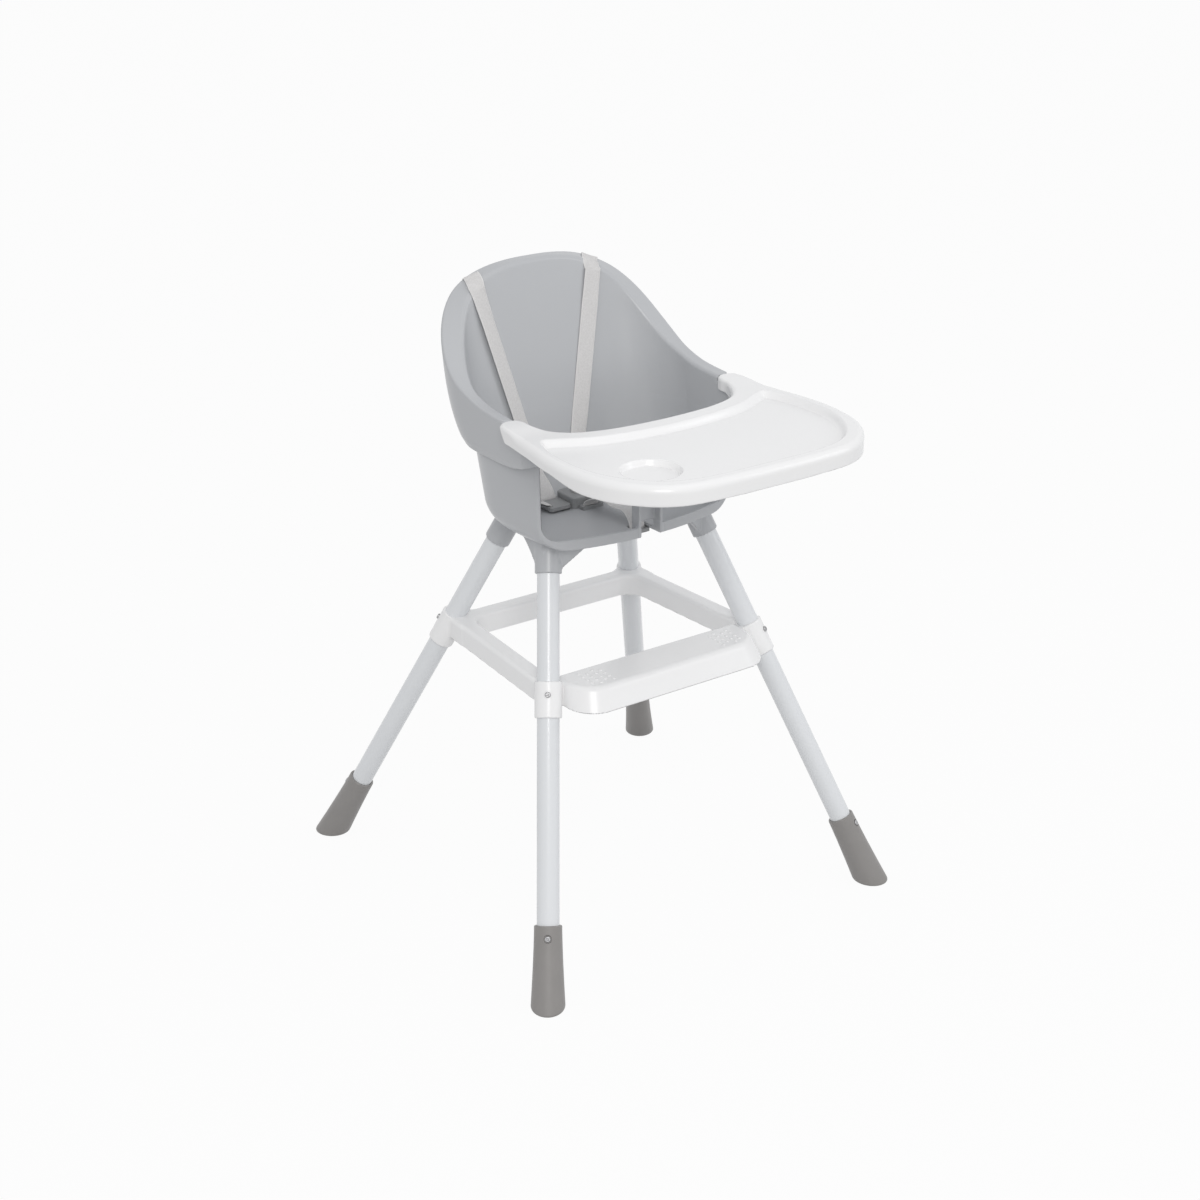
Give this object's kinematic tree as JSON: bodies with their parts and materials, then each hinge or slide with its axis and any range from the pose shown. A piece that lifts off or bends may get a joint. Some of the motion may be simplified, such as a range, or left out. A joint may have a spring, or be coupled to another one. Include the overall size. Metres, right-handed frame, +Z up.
{
  "type": "baby high chair",
  "caption": "Baby high chair with a moulded bucket seat, harness, removable tray, splayed tube legs and a footrest ring.",
  "frame": {"origin": "middle of the bounding box, on the floor", "axes": "+Z up, the chair faces -Y, the child's left is +X"},
  "size_m": [0.6188, 0.697, 0.868],
  "materials": {
    "leg_paint": "white gloss powder coat",
    "foot_plastic": "satin warm grey moulding",
    "screw_steel": "zinc plated",
    "white_plastic": "gloss white moulding",
    "grey_plastic": "gloss light grey moulding",
    "webbing": "woven polyester webbing",
    "buckle_plastic": "fine textured moulding",
    "button_plastic": "gloss moulding"
  },
  "bodies": {
    "chair": {"leg_front_right": "leg_paint", "foot_front_right": "foot_plastic", "leg_front_left": "leg_paint", "foot_front_left": "foot_plastic", "leg_rear_right": "leg_paint", "foot_rear_right": "foot_plastic", "leg_rear_left": "leg_paint", "foot_rear_left": "foot_plastic", "foot_screws": "screw_steel", "ring_screws": "screw_steel", "shell_screws": "screw_steel", "footrest_ring": "white_plastic", "seat_base": "grey_plastic", "seat_shell": "grey_plastic", "harness_strap_right": "webbing", "harness_strap_left": "webbing", "crotch_strap": "webbing", "crotch_stop": "buckle_plastic", "buckle_housing": "buckle_plastic", "buckle_cover": "buckle_plastic"},
    "tray": {"tray": "white_plastic"},
    "button": {"buckle_button": "button_plastic"},
    "tongue_right": {"buckle_tongue_right": "buckle_plastic"},
    "tongue_left": {"buckle_tongue_left": "buckle_plastic"}
  },
  "joints": [
    {"name": "tray_slide", "type": "slide", "parent": "chair", "child": "tray", "axis": [0, -1, 0], "range_m": [0, 0.2]},
    {"name": "buckle_press", "type": "slide", "parent": "chair", "child": "button", "axis": [0, 0, -1], "range_m": [0, 0.003], "stiffness_N_per_m": 400},
    {"name": "tongue_right_release", "type": "slide", "parent": "chair", "child": "tongue_right", "axis": [-1, 0, 0], "range_m": [0, 0.02], "deforming": ["harness_strap_right"]},
    {"name": "tongue_left_release", "type": "slide", "parent": "chair", "child": "tongue_left", "axis": [1, 0, 0], "range_m": [0, 0.02], "deforming": ["harness_strap_left"]}
  ]
}
